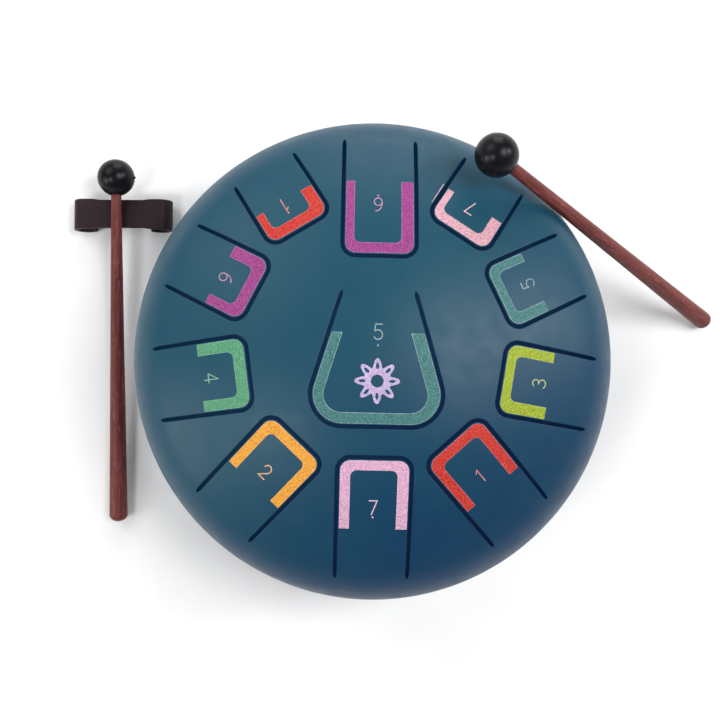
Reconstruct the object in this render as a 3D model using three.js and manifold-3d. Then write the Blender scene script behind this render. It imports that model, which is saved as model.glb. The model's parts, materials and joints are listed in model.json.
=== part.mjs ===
// Steel tongue drum with eleven tongues, two mallets and a mallet holder.
// Millimetres, +Z up. The origin is the middle of the set's footprint, on the table top.
// Azimuths are in degrees, clockwise from +Y as seen from above.

import * as THREE from 'three';
import { mergeVertices } from 'three/addons/utils/BufferGeometryUtils.js';
import Module from 'manifold-3d';

const wasm = await Module();
wasm.setup();

// ---- Driving dimensions ----------------------------------------------------------------

const GAP = 0.3;
const FACETS = 40;

const SHEET = 1.2;
const DRUM_RADIUS = 127;
const SEAM_Z = 66;
const FLANGE = 4;
const WELD_HEIGHT = 2;
const WELD_CROWN = 0.5;
const TOP_DISH = { rise: 58, knuckle: 36, crownSteps: 5, knuckleSteps: 5 };
const BOTTOM_DISH = { rise: 57, knuckle: 30, crownSteps: 4, knuckleSteps: 4 };
const SOUND_HOLE_RADIUS = 27;

const SLIT = 2;
const SLIT_CIRCLE = 112.5;
const RING_CORNER = 6.5;
const TIGHTEST_CORNER = 3;
const WIDE = 18.1;
const NARROW = 17.3;
const CENTRE_TONGUE = { tip: -34.4, root: 31, rootHalf: 17.6, flare: 0.3, corner: 15.5 };

const BAND_WIDTH = 5.8;
const BAND_INSET = 0.5;
const FILM = 0.3;
const STROKE = 0.8;
const NUMERAL_HEIGHT = 8;
const EMBLEM_RADIUS = 11;
const EMBLEM_Y = -12.5;

const FOOT_RADIUS = 11;
const FOOT_CIRCLE = 68;

const MALLET_LENGTH = 205;
const HEAD_RADIUS = 10.8;
const STICK_HEAD_RADIUS = 3;
const STICK_BUTT_RADIUS = 5.3;
const STICK_SOCKET = 3;
const NUB = { radius: 1.6, height: 1.9 };

const HOLDER = { length: 59, depth: 18, clip: 7.2, wall: 2.6, mouth: 210 };

// Places on the table, in the drum's own frame: the drum's axis is x = 0, y = 0.
const DRUM_X = -14.1;
const HOLDER_PLACE = { x: -151, y: 86.4, turn: 1.2 };
const MALLET_1 = { head: [-153.2, 106.6], butt: [-148.5, -98.4] };
const MALLET_2 = { head: [55.9, 98.5, 123.1], slope: 36, azimuth: 114.2 };

const COLOUR = {
  paint: 0x2f5a6d,
  rubber: 0x1b1a1f,
  stick: 0x703d3a,
  holder: 0x392c33,
  teal: 0x4c9384,
  magenta: 0xb54e9f,
  red: 0xdb4840,
  pink: 0xf0a9be,
  lilac: 0xdfa5cb,
  lime: 0xa4c23a,
  green: 0x62b27e,
  orange: 0xefa23c,
  emblem: 0xc8afdc,
};

const RING_TONGUES = [
  { note: 'low_6', digit: 6, azimuth: 0, tip: 48, half: WIDE, bandEnd: 87, colour: 'magenta' },
  { note: '7', digit: 7, azimuth: 32, tip: 71.5, half: NARROW, bandEnd: 90, colour: 'pink' },
  { note: '5', digit: 5, azimuth: 63.5, tip: 65.2, half: NARROW, bandEnd: 87, colour: 'teal' },
  { note: '3', digit: 3, azimuth: 98.5, tip: 61.2, half: WIDE, bandEnd: 87, colour: 'lime' },
  { note: '1', digit: 1, azimuth: 137.5, tip: 54, half: WIDE, bandEnd: 87, colour: 'red' },
  { note: 'low_7', digit: 7, azimuth: 180, tip: 49, half: WIDE, bandEnd: 84.5, colour: 'lilac' },
  { note: '2', digit: 2, azimuth: 222.5, tip: 55, half: WIDE, bandEnd: 87, colour: 'orange' },
  { note: '4', digit: 4, azimuth: 261.5, tip: 62.2, half: WIDE, bandEnd: 87, colour: 'green' },
  { note: '6', digit: 6, azimuth: 296.5, tip: 66, half: NARROW, bandEnd: 87, colour: 'magenta' },
  { note: 'high_1', digit: 1, azimuth: 328, tip: 72, half: NARROW, bandEnd: 90, colour: 'red' },
];

const rad = THREE.MathUtils.degToRad;

// ---- Solids and meshes -------------------------------------------------------------------

/** A closed three.js geometry as a manifold solid, whichever way round its faces are. */
function solid(geometry) {
  const bare = geometry.clone();
  bare.deleteAttribute('normal');
  bare.deleteAttribute('uv');
  const merged = mergeVertices(bare, 1e-4);
  const index = merged.index.array;
  const position = merged.attributes.position;
  const triangles = [];
  let volume = 0;
  for (let i = 0; i < index.length; i += 3) {
    const [a, b, c] = [index[i], index[i + 1], index[i + 2]];
    if (a === b || b === c || c === a) continue;
    const [p, q, r] = [a, b, c].map((k) => new THREE.Vector3().fromBufferAttribute(position, k));
    volume += p.dot(q.cross(r));
    triangles.push([a, b, c]);
  }
  const facingOut = triangles.map(([a, b, c]) => (volume > 0 ? [a, b, c] : [a, c, b]));
  const mesh = new wasm.Mesh({
    numProp: 3,
    vertProperties: new Float32Array(position.array),
    triVerts: new Uint32Array(facingOut.flat()),
  });
  return new wasm.Manifold(mesh);
}

/** A manifold solid as a geometry. */
function geometryOf(manifold) {
  const mesh = manifold.getMesh();
  const geometry = new THREE.BufferGeometry();
  geometry.setAttribute('position', new THREE.BufferAttribute(mesh.vertProperties, 3));
  geometry.setIndex(new THREE.BufferAttribute(mesh.triVerts, 1));
  geometry.computeVertexNormals();
  return geometry;
}

function material(colour, roughness, metalness) {
  return new THREE.MeshStandardMaterial({ color: COLOUR[colour], roughness, metalness });
}

function piece(parent, name, manifold, look) {
  const mesh = new THREE.Mesh(geometryOf(manifold), look);
  mesh.name = name;
  parent.add(mesh);
  return mesh;
}

/** A solid of revolution about Z from [radius, z] points that start and end on the axis or close. */
function turned(points, segments) {
  const profile = points.map(([r, z]) => new THREE.Vector2(Math.max(r, 0), z));
  const geometry = new THREE.LatheGeometry(profile, segments);
  geometry.rotateX(Math.PI / 2);
  return solid(geometry);
}

/** A plan outline raised between two heights. */
function raised(shape, low, high, curveSegments = 5) {
  const options = { depth: high - low, bevelEnabled: false, curveSegments };
  const geometry = new THREE.ExtrudeGeometry(shape, options);
  geometry.translate(0, 0, low);
  return solid(geometry);
}

// ---- The pressed dishes --------------------------------------------------------------------

/** The radii and centres of a dish whose crown runs tangent into its knuckle. */
function dishForm({ rise, knuckle }) {
  const knuckleCentre = DRUM_RADIUS - knuckle;
  const crown = (knuckleCentre ** 2 + rise ** 2 - knuckle ** 2) / (2 * (rise - knuckle));
  const meeting = Math.atan2(knuckleCentre, crown - rise);
  return { knuckleCentre, crown, meeting };
}

/** [radius, height above the flange] along a dish, from `start` radius out to the flange. */
function dishProfile(dish, offset, start) {
  const { knuckleCentre, crown, meeting } = dishForm(dish);
  const crownRadius = crown + offset;
  const knuckleRadius = dish.knuckle + offset;
  const first = Math.asin(start / crownRadius);
  const points = [];
  for (let i = 0; i <= dish.crownSteps; i++) {
    const angle = THREE.MathUtils.lerp(first, meeting, i / dish.crownSteps);
    const height = crownRadius * Math.cos(angle) - (crown - dish.rise);
    points.push([crownRadius * Math.sin(angle), height]);
  }
  for (let i = 1; i <= dish.knuckleSteps; i++) {
    const angle = THREE.MathUtils.lerp(meeting, Math.PI / 2, i / dish.knuckleSteps);
    points.push([knuckleCentre + knuckleRadius * Math.sin(angle), knuckleRadius * Math.cos(angle)]);
  }
  return points;
}

/** One pressed shell of sheet steel, opening towards the seam. `side` is +1 above it, -1 below. */
function pressedShell(dish, side, start) {
  const flangeEnd = SEAM_Z + side * (WELD_HEIGHT / 2 + GAP);
  const toWorld = ([r, h]) => [r, SEAM_Z + side * (FLANGE + h)];
  const outer = dishProfile(dish, 0, start).map(toWorld);
  const inner = dishProfile(dish, -SHEET, start).map(toWorld);
  const rim = [[DRUM_RADIUS, flangeEnd], [DRUM_RADIUS - SHEET, flangeEnd]];
  const profile = [...outer, ...rim, ...inner.reverse()];
  if (start > 0) profile.push(profile[0]);
  return turned(profile, FACETS);
}

// ---- Tongue outlines -------------------------------------------------------------------------

/**
 * A tongue's outline in its own plan frame: u runs along +Y from the drum's axis, and the root
 * edge is at the far end. `inset` moves the outline inwards from the middle of the slit.
 */
function tongueShape(tongue, inset, root) {
  const lean = Math.atan(tongue.flare);
  const tip = tongue.tip + inset;
  const corner = Math.max(tongue.corner - inset, TIGHTEST_CORNER);
  const halfAt = (u) => tongue.rootHalf + tongue.flare * (tongue.root - u) - inset / Math.cos(lean);
  const centreU = tip + corner;
  const centreV = halfAt(centreU) - corner / Math.cos(lean);
  const shape = new THREE.Shape();
  shape.moveTo(halfAt(root), root);
  shape.lineTo(-halfAt(root), root);
  shape.absarc(-centreV, centreU, corner, Math.PI - lean, 1.5 * Math.PI, false);
  shape.absarc(centreV, centreU, corner, 1.5 * Math.PI, 2 * Math.PI + lean, false);
  shape.closePath();
  return shape;
}

/** The U-shaped band printed just inside a tongue's slit, open at its outer end. */
function bandShape(tongue, end) {
  const outerInset = SLIT / 2 + BAND_INSET;
  const sides = (inset) => tongueShape(tongue, inset, end).getPoints(4).slice(1);
  const outer = sides(outerInset);
  const inner = sides(outerInset + BAND_WIDTH);
  return new THREE.Shape([...outer, ...inner.reverse()]);
}

/** A plan outline raised through the dome, turned to a tongue's azimuth. */
function upright(shape, azimuth) {
  const low = SEAM_Z + FLANGE + 10;
  const high = SEAM_Z + FLANGE + TOP_DISH.rise + 10;
  return raised(shape, low, high).rotate([0, 0, -azimuth]);
}

/** A thin skin over the crown, a gap above the steel, from which bands and numerals are cut. */
function crownSkin() {
  const toWorld = ([r, h]) => [r, SEAM_Z + FLANGE + h];
  const crownOnly = TOP_DISH.crownSteps + 1;
  const upper = dishProfile(TOP_DISH, GAP + FILM, 0).slice(0, crownOnly).map(toWorld);
  const lower = dishProfile(TOP_DISH, GAP, 0).slice(0, crownOnly).map(toWorld);
  return turned([...upper, ...lower.reverse()], FACETS);
}

// ---- Numerals ---------------------------------------------------------------------------------

/** Centre lines of the digits, in units of the numeral's height, from its lower left corner. */
const arc = (x, y, rx, ry, from, to, steps) => Array.from({ length: steps + 1 }, (_, i) => {
  const angle = rad(THREE.MathUtils.lerp(from, to, i / steps));
  return [x + rx * Math.cos(angle), y + ry * Math.sin(angle)];
});

const DIGITS = {
  1: [[0.12, 0.8], [0.32, 1], [0.32, 0]],
  2: [...arc(0.3, 0.7, 0.28, 0.3, 170, -40, 7), [0.03, 0], [0.6, 0]],
  3: [...arc(0.28, 0.76, 0.25, 0.24, 150, -70, 6), ...arc(0.28, 0.27, 0.3, 0.27, 75, -150, 7)],
  4: [[0.45, 0], [0.45, 1], [0.02, 0.3], [0.66, 0.3]],
  5: [[0.56, 1], [0.12, 1], [0.07, 0.56], ...arc(0.29, 0.31, 0.29, 0.31, 110, -150, 8)],
  6: [[0.44, 1], [0.1, 0.5], ...arc(0.3, 0.29, 0.28, 0.29, 160, 480, 11)],
  7: [[0.02, 1], [0.58, 1], [0.2, 0]],
};

/** A numeral's centre line, centred on (0, middle) in a tongue's plan frame. `up` is +1 or -1. */
function numeralLine(digit, middle, up) {
  return DIGITS[digit].map(([x, y]) => {
    const across = (x - 0.3) * NUMERAL_HEIGHT;
    const along = (y - 0.5) * NUMERAL_HEIGHT;
    return new THREE.Vector2(up * across, middle + up * along);
  });
}

/** One straight bar of a stroke, a little longer than its two end points so that bars overlap. */
function barShape(from, to) {
  const along = new THREE.Vector2().subVectors(to, from).normalize().multiplyScalar(STROKE / 4);
  const side = new THREE.Vector2(-along.y, along.x).multiplyScalar(2);
  const start = from.clone().sub(along);
  const end = to.clone().add(along);
  return new THREE.Shape([
    start.clone().sub(side),
    end.clone().sub(side),
    end.clone().add(side),
    start.clone().add(side),
  ]);
}

/** A centre line's bars joined into one upright solid. */
function uprightStroke(line, azimuth) {
  const bars = line.slice(1).map((end, i) => upright(barShape(line[i], end), azimuth));
  return bars.reduce((joined, bar) => joined.add(bar));
}

/** An eight-petalled rosette outline. */
function emblemShape() {
  const petals = 8;
  const steps = petals * 5;
  const points = [];
  for (let i = 0; i < steps; i++) {
    const angle = (i / steps) * 2 * Math.PI;
    const radius = EMBLEM_RADIUS * (0.78 + 0.22 * Math.cos(petals * angle));
    points.push(new THREE.Vector2(radius * Math.cos(angle), EMBLEM_Y + radius * Math.sin(angle)));
  }
  const shape = new THREE.Shape(points);
  shape.holes.push(new THREE.Path().absarc(0, EMBLEM_Y, EMBLEM_RADIUS * 0.3, 0, 2 * Math.PI, true));
  return shape;
}

// ---- The drum ------------------------------------------------------------------------------------

const paint = () => material('paint', 0.42, 0.4);
const ink = (colour) => material(colour, 0.6, 0);

/** Every tongue as one kind of record: outline, azimuth, root edge, band end and numeral place. */
function allTongues() {
  const ring = RING_TONGUES.map((tongue) => ({
    ...tongue,
    flare: 0,
    corner: RING_CORNER,
    rootHalf: tongue.half,
    root: Math.sqrt(SLIT_CIRCLE ** 2 - tongue.half ** 2),
    numeralAt: (tongue.tip + BAND_WIDTH + tongue.bandEnd) / 2 + 4,
    numeralUp: -1,
  }));
  const centre = {
    ...CENTRE_TONGUE,
    note: 'low_5',
    digit: 5,
    azimuth: 0,
    bandEnd: 10.5,
    colour: 'teal',
    numeralAt: 11,
    numeralUp: 1,
  };
  return [...ring, centre];
}

function drum() {
  const group = new THREE.Group();
  let top = pressedShell(TOP_DISH, 1, 0);
  const sheet = top;
  const skin = crownSkin();
  for (const tongue of allTongues()) {
    const hole = upright(tongueShape(tongue, -SLIT / 2, tongue.root), tongue.azimuth);
    const blank = upright(tongueShape(tongue, SLIT / 2, tongue.root - GAP), tongue.azimuth);
    top = top.subtract(hole);
    piece(group, `tongue_${tongue.note}`, sheet.intersect(blank), paint());
    const band = upright(bandShape(tongue, tongue.bandEnd), tongue.azimuth);
    piece(group, `band_${tongue.note}`, skin.intersect(band), ink(tongue.colour));
    const line = numeralLine(tongue.digit, tongue.numeralAt, tongue.numeralUp);
    const numeral = uprightStroke(line, tongue.azimuth);
    piece(group, `numeral_${tongue.note}`, skin.intersect(numeral), ink(tongue.colour));
  }
  piece(group, 'top_shell', top, paint());
  piece(group, 'centre_emblem', skin.intersect(upright(emblemShape(), 0)), ink('emblem'));
  piece(group, 'bottom_shell', pressedShell(BOTTOM_DISH, -1, SOUND_HOLE_RADIUS), paint());
  piece(group, 'rim_weld', rimWeld(), paint());
  addFeet(group);
  return group;
}

/** The weld bead between the two flanges, slightly proud of them. */
function rimWeld() {
  const half = WELD_HEIGHT / 2;
  const inner = DRUM_RADIUS - SHEET;
  return turned([
    [inner, SEAM_Z - half],
    [DRUM_RADIUS, SEAM_Z - half],
    [DRUM_RADIUS + WELD_CROWN, SEAM_Z - half / 2],
    [DRUM_RADIUS + WELD_CROWN, SEAM_Z + half / 2],
    [DRUM_RADIUS, SEAM_Z + half],
    [inner, SEAM_Z + half],
    [inner, SEAM_Z - half],
  ], FACETS);
}

/** Four rubber feet, each shaped to the underside of the bottom shell. */
function addFeet(group) {
  const toWorld = ([r, h]) => [r, SEAM_Z - FLANGE - h];
  const belly = dishProfile(BOTTOM_DISH, GAP, SOUND_HOLE_RADIUS).map(toWorld);
  const lowest = belly[0][1];
  const envelope = turned([[0, lowest], ...belly, [DRUM_RADIUS, SEAM_Z], [0, SEAM_Z]], FACETS);
  const places = [['foot_rear_right', 45], ['foot_front_right', 135], ['foot_front_left', 225],
    ['foot_rear_left', 315]];
  for (const [name, azimuth] of places) {
    const block = turned([
      [0, 0],
      [FOOT_RADIUS - 2.5, 0],
      [FOOT_RADIUS - 0.7, 0.8],
      [FOOT_RADIUS, 2.5],
      [FOOT_RADIUS - 1.5, 24],
      [0, 24],
    ], 16);
    const angle = rad(azimuth);
    const place = [FOOT_CIRCLE * Math.sin(angle), FOOT_CIRCLE * Math.cos(angle), 0];
    piece(group, name, block.translate(place).subtract(envelope), material('rubber', 0.8, 0));
  }
}

// ---- Mallets ---------------------------------------------------------------------------------------

/** A mallet in its own frame: the head's centre is the origin and the stick runs along -Z. */
function mallet(name, nubAzimuth) {
  const group = new THREE.Group();
  const neck = -HEAD_RADIUS - 1;
  const capHeight = 4;
  const capSteps = 4;
  const stick = [[0, STICK_SOCKET - GAP], [STICK_HEAD_RADIUS, STICK_SOCKET - GAP], [STICK_HEAD_RADIUS, neck]];
  for (let i = 0; i <= capSteps; i++) {
    const angle = (i / capSteps) * Math.PI / 2;
    const z = -MALLET_LENGTH + capHeight * (1 - Math.sin(angle));
    stick.push([STICK_BUTT_RADIUS * Math.cos(angle), z]);
  }
  piece(group, `${name}_stick`, turned(stick, 16), material('stick', 0.5, 0));

  const bore = STICK_HEAD_RADIUS + GAP;
  const mouth = Math.asin(bore / HEAD_RADIUS);
  const ball = [];
  const ballSteps = 10;
  for (let i = 0; i <= ballSteps; i++) {
    const angle = (i / ballSteps) * (Math.PI - mouth);
    ball.push([HEAD_RADIUS * Math.sin(angle), HEAD_RADIUS * Math.cos(angle)]);
  }
  ball.push([bore, STICK_SOCKET], [0, STICK_SOCKET]);
  const nub = turned([[0, -2], [NUB.radius, -2], [NUB.radius, 0], [0.5, NUB.height], [0, NUB.height]], 8)
    .rotate([0, 90, 0])
    .translate([HEAD_RADIUS - 0.6, 0, 0])
    .rotate([0, 0, nubAzimuth]);
  piece(group, `${name}_head`, turned(ball, 20).add(nub), material('rubber', 0.45, 0));
  return group;
}

/** Points a mallet's stick along a direction and puts its head at a place. */
function placeMallet(group, head, direction) {
  const down = new THREE.Vector3(0, 0, -1);
  group.position.set(...head);
  group.quaternion.setFromUnitVectors(down, direction.normalize());
  return group;
}

/** Mallet 1 lies across the holder, with its butt on the table. */
function lyingMallet() {
  const [headX, headY] = MALLET_1.head;
  const [buttX, buttY] = MALLET_1.butt;
  const nearEdge = HOLDER_PLACE.y - HOLDER.depth / 2;
  const radiusAt = (y) => THREE.MathUtils.mapLinear(y, headY, buttY, STICK_HEAD_RADIUS, STICK_BUTT_RADIUS);
  const buttZ = STICK_BUTT_RADIUS + 0.1;
  const edgeZ = 2 * HOLDER.clip + GAP + radiusAt(nearEdge) + 0.05;
  const headZ = THREE.MathUtils.mapLinear(headY, buttY, nearEdge, buttZ, edgeZ);
  const direction = new THREE.Vector3(buttX - headX, buttY - headY, buttZ - headZ);
  return placeMallet(mallet('mallet_1', -5), [headX, headY, headZ], direction);
}

/** Mallet 2 leans on the drum's shoulder, with its butt on the table. */
function leaningMallet() {
  const slope = rad(MALLET_2.slope);
  const azimuth = rad(MALLET_2.azimuth);
  const level = Math.cos(slope);
  const direction = new THREE.Vector3(
    level * Math.sin(azimuth),
    level * Math.cos(azimuth),
    -Math.sin(slope),
  );
  return placeMallet(mallet('mallet_2', 75), MALLET_2.head, direction);
}

// ---- The mallet holder -----------------------------------------------------------------------------

/** Half of the holder's end view, from the middle of the plate to the mouth of its right clip. */
function clipOutline(side) {
  const { length, clip, wall, mouth } = HOLDER;
  const centreX = length / 2 - clip;
  const steps = 12;
  const sweep = (radius, from, to) => Array.from({ length: steps + 1 }, (_, i) => {
    const angle = rad(THREE.MathUtils.lerp(from, to, i / steps));
    return new THREE.Vector2(side * (centreX + radius * Math.cos(angle)), clip + radius * Math.sin(angle));
  });
  const outer = sweep(clip, 90, mouth - 360);
  const inner = sweep(clip - wall, mouth - 360, 90);
  return [...outer, ...inner];
}

/** A plate whose two ends curl under into open clips, one for each stick. */
function holder() {
  const outline = [...clipOutline(1), ...clipOutline(-1).reverse()];
  const shape = new THREE.Shape(outline);
  const geometry = new THREE.ExtrudeGeometry(shape, { depth: HOLDER.depth, bevelEnabled: false });
  geometry.translate(0, 0, -HOLDER.depth / 2);
  geometry.rotateX(Math.PI / 2);
  const group = new THREE.Group();
  piece(group, 'mallet_holder', solid(geometry), material('holder', 0.6, 0));
  group.position.set(HOLDER_PLACE.x, HOLDER_PLACE.y, 0);
  group.rotation.z = rad(HOLDER_PLACE.turn);
  return group;
}

// ---- The set ---------------------------------------------------------------------------------------

const group = new THREE.Group();
group.name = 'steel_tongue_drum_set';
const table = new THREE.Group();
table.position.x = DRUM_X;
table.add(drum(), holder(), lyingMallet(), leaningMallet());
group.add(table);
group.updateMatrixWorld(true);

export default group;
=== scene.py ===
"""The looks of a steel tongue drum set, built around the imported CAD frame.

Lengths are millimetres until a mesh is made. Azimuths are degrees clockwise from +Y seen from
above. The drum's own plan frame has its origin on the drum's axis, and a tongue's plan frame has
u running outwards from that axis and v to the right of it.
"""

import json
import math

import bmesh
import bpy
import numpy as np
from mathutils import Matrix, Vector
from mathutils.geometry import delaunay_2d_cdt
from mathutils.kdtree import KDTree


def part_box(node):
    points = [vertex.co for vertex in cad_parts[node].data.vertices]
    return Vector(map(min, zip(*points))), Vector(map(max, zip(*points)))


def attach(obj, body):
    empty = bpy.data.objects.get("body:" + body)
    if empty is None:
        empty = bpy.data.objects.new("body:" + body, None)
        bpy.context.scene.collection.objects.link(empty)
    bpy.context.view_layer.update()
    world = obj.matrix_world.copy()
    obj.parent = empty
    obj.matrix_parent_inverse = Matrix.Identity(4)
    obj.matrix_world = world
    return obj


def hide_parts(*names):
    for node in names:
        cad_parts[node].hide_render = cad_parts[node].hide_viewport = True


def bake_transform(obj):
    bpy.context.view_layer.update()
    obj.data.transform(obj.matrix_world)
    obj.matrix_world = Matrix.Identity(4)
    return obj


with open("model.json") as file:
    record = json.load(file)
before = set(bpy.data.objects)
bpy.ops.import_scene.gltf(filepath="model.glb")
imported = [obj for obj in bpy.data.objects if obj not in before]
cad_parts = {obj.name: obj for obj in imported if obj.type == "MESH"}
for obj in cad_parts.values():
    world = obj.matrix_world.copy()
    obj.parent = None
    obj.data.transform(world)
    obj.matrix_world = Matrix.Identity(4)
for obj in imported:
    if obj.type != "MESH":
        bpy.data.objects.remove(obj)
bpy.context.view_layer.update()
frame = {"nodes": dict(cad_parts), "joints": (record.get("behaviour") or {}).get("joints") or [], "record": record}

MM = 0.001
TAU = 2 * math.pi

# ---- Driving dimensions ----

SHEET = 1.2
SLIT = 2.0
SLIT_TAPER = 3.2
EDGE_ROUND = 0.3
TOP_RISE, TOP_KNUCKLE = 58.0, 36.0
BOTTOM_RISE, BOTTOM_KNUCKLE = 57.0, 30.0
FLANGE = 4.0
WELD_ROOM = 0.6
SOUND_HOLE, HOLE_LIP = 27.0, 1.0
RING_CORNER, CENTRE_CORNER, TIGHTEST_CORNER = 6.5, 15.5, 3.0
CENTRE_FLARE = 0.3
# How far in from its root a tongue has taken on its whole bend.
BENDING_RUN = 9.0
# Slit walls stand upright out to the first radius, and square to the sheet from the second.
WALLS_UPRIGHT_TO, WALLS_SQUARE_FROM = 114.0, 122.0
# The spacing of mesh points: over the sheet and away from its lines, along a slit or a band, and
# round a corner, which is never taken as sharper than the last radius.
SHEET_SPACING, SHEET_CLEAR, LINE_SPACING = 3.0, 2.0, 1.5
CORNER_SPACING, SHARP_CORNER = 1.1, 4.0

FILM = 0.12
FILM_BASE = 0.02
FILM_CUT = 0.22
BAND_INSET, BAND_END_SPACING = 0.5, 0.6
# Each band is cut by hand: the widths of its left arm, its tip and its right arm.
BAND_WIDTHS = {
    "low_5": (4.9, 5.3, 6.1),
    "low_6": (4.2, 5.2, 6.0),
    "low_7": (5.5, 4.8, 4.9),
    "1": (5.6, 5.2, 5.0),
    "2": (5.3, 5.4, 5.0),
    "3": (5.1, 4.6, 5.9),
    "4": (5.3, 5.7, 5.8),
    "5": (4.4, 4.4, 5.4),
    "6": (4.9, 5.8, 6.1),
    "7": (3.4, 4.8, 5.7),
    "high_1": (4.0, 5.6, 6.1),
}
STROKE, DOT = 0.56, 0.48
RING_NUMERAL, CENTRE_NUMERAL = 6.9, 7.3
RING_DOT_AWAY, CENTRE_DOT_AWAY = 1.35, 2.8
SLIP_NOTE, SLIP_LENGTH, SLIP_PAST_BAND = "7", 11.5, 0.8
SLIP_WIDTH, SLIP_NARROW_END, SLIP_GAP = 0.5, 0.4, 0.45
EMBLEM_RADIUS, EMBLEM_Y, PETALS = 10.9, -12.5, 8

BEAD_HALF_HEIGHT, BEAD_REACH, BEAD_SUNK, BEAD_RIPPLES = 1.75, 1.0, 0.55, 260
FOOT_CIRCLE, FOOT_BLANK, FOOT_BITE, SOLE_ROUND = 68.0, 20.0, 0.25, 1.75
FOOT_AZIMUTHS = {
    "foot_rear_right": 45,
    "foot_front_right": 135,
    "foot_front_left": 225,
    "foot_rear_left": 315,
}

HEAD_RADIUS, MALLET_LENGTH = 10.8, 205.0
STICK_HEAD_RADIUS, STICK_BUTT_RADIUS, STICK_SOCKET, STICK_CAP = 3.0, 5.3, 3.0, 4.0
SOCKET_ROOM, SOCKET_CHAMFER = 0.06, 0.55
NUB_HEIGHT, NUB_RADIUS, NUB_ANGLE = 1.25, 1.1, 0.16
SEAM_HEIGHT, SEAM_WIDTH = 0.09, 0.22

HOLDER_LENGTH, HOLDER_DEPTH, HOLDER_TURN, HOLDER_ROUND = 59.0, 18.0, 1.2, 0.55
CLIP_RADIUS, CLIP_WALL, CLIP_MOUTH = 7.2, 2.6, -150.0
# The plate is this much narrower each side than the barrels, between these distances along it.
PLATE_NARROW, PLATE_NARROW_TO, BARREL_FROM = 0.6, 12.5, 17.5

# ---- Places read from the frame ----


def node_points(node):
    """A CAD node's corners in millimetres, in the row frame."""
    return np.array([v.co[:] for v in frame["nodes"][node].data.vertices]) / MM


def middle(node):
    """The middle of a CAD node's box in millimetres."""
    low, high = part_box(node)
    return (low + high) / 2 / MM


def round_turn(count):
    """Evenly spaced angles all the way round, in radians."""
    return [i / count * TAU for i in range(count)]


DRUM_AXIS = middle("rim_weld").xy
SEAM_Z = middle("rim_weld").z
DRUM_RADIUS = (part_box("top_shell")[1].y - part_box("top_shell")[0].y) / 2 / MM


class Tongue:
    """One tongue's plan, from its joint and its CAD nodes."""

    def __init__(self, joint):
        self.note = joint["name"].removesuffix("_flex")
        self.body = joint["child"]
        across = Vector(joint["axis"][:2])
        self.across = np.array(across)
        self.outward = np.array((-across.y, across.x))
        root_point = np.array(joint["pos_m"][:2]) / MM - np.array(DRUM_AXIS)
        self.root = float(root_point @ self.outward)
        u, v = self.local(node_points(f"tongue_{self.note}"))
        self.tip = u.min() - SLIT / 2
        self.is_centre = self.tip < 0
        self.flare = CENTRE_FLARE if self.is_centre else 0.0
        self.lean = math.atan(self.flare)
        self.corner = CENTRE_CORNER if self.is_centre else RING_CORNER
        root_v = np.abs(v[u > u.max() - 0.01]).max()
        self.half = root_v + SLIT / 2 / math.cos(self.lean) - self.flare * (self.root - u.max())
        self.band_end = self.local(node_points(f"band_{self.note}"))[0].max()
        numeral_u = self.local(node_points(f"numeral_{self.note}"))[0]
        self.numeral_at = (numeral_u.min() + numeral_u.max()) / 2
        self.numeral_up = 1 if self.is_centre else -1
        self.left_arm, self.tip_band, self.right_arm = BAND_WIDTHS[self.note]
        self.arm = (self.left_arm + self.right_arm) / 2
        self.numeral_v = 0 if self.is_centre else self.left_arm - self.arm
        self.numeral_height = CENTRE_NUMERAL if self.is_centre else RING_NUMERAL
        self.dot_away = CENTRE_DOT_AWAY if self.is_centre else RING_DOT_AWAY

    def local(self, points):
        """Row-frame points as u and v in the tongue's plan frame."""
        plan = points[:, :2] - np.array(DRUM_AXIS)
        return plan @ self.outward, plan @ self.across

    def plan(self, uv):
        """Points in the tongue's plan frame as points in the drum's plan frame."""
        uv = np.asarray(uv, float)
        return uv[:, :1] * self.outward + uv[:, 1:2] * self.across


TONGUES = [Tongue(j) for j in frame["joints"] if j["name"].endswith("_flex")]

# ---- The pressed dishes ----


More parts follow.
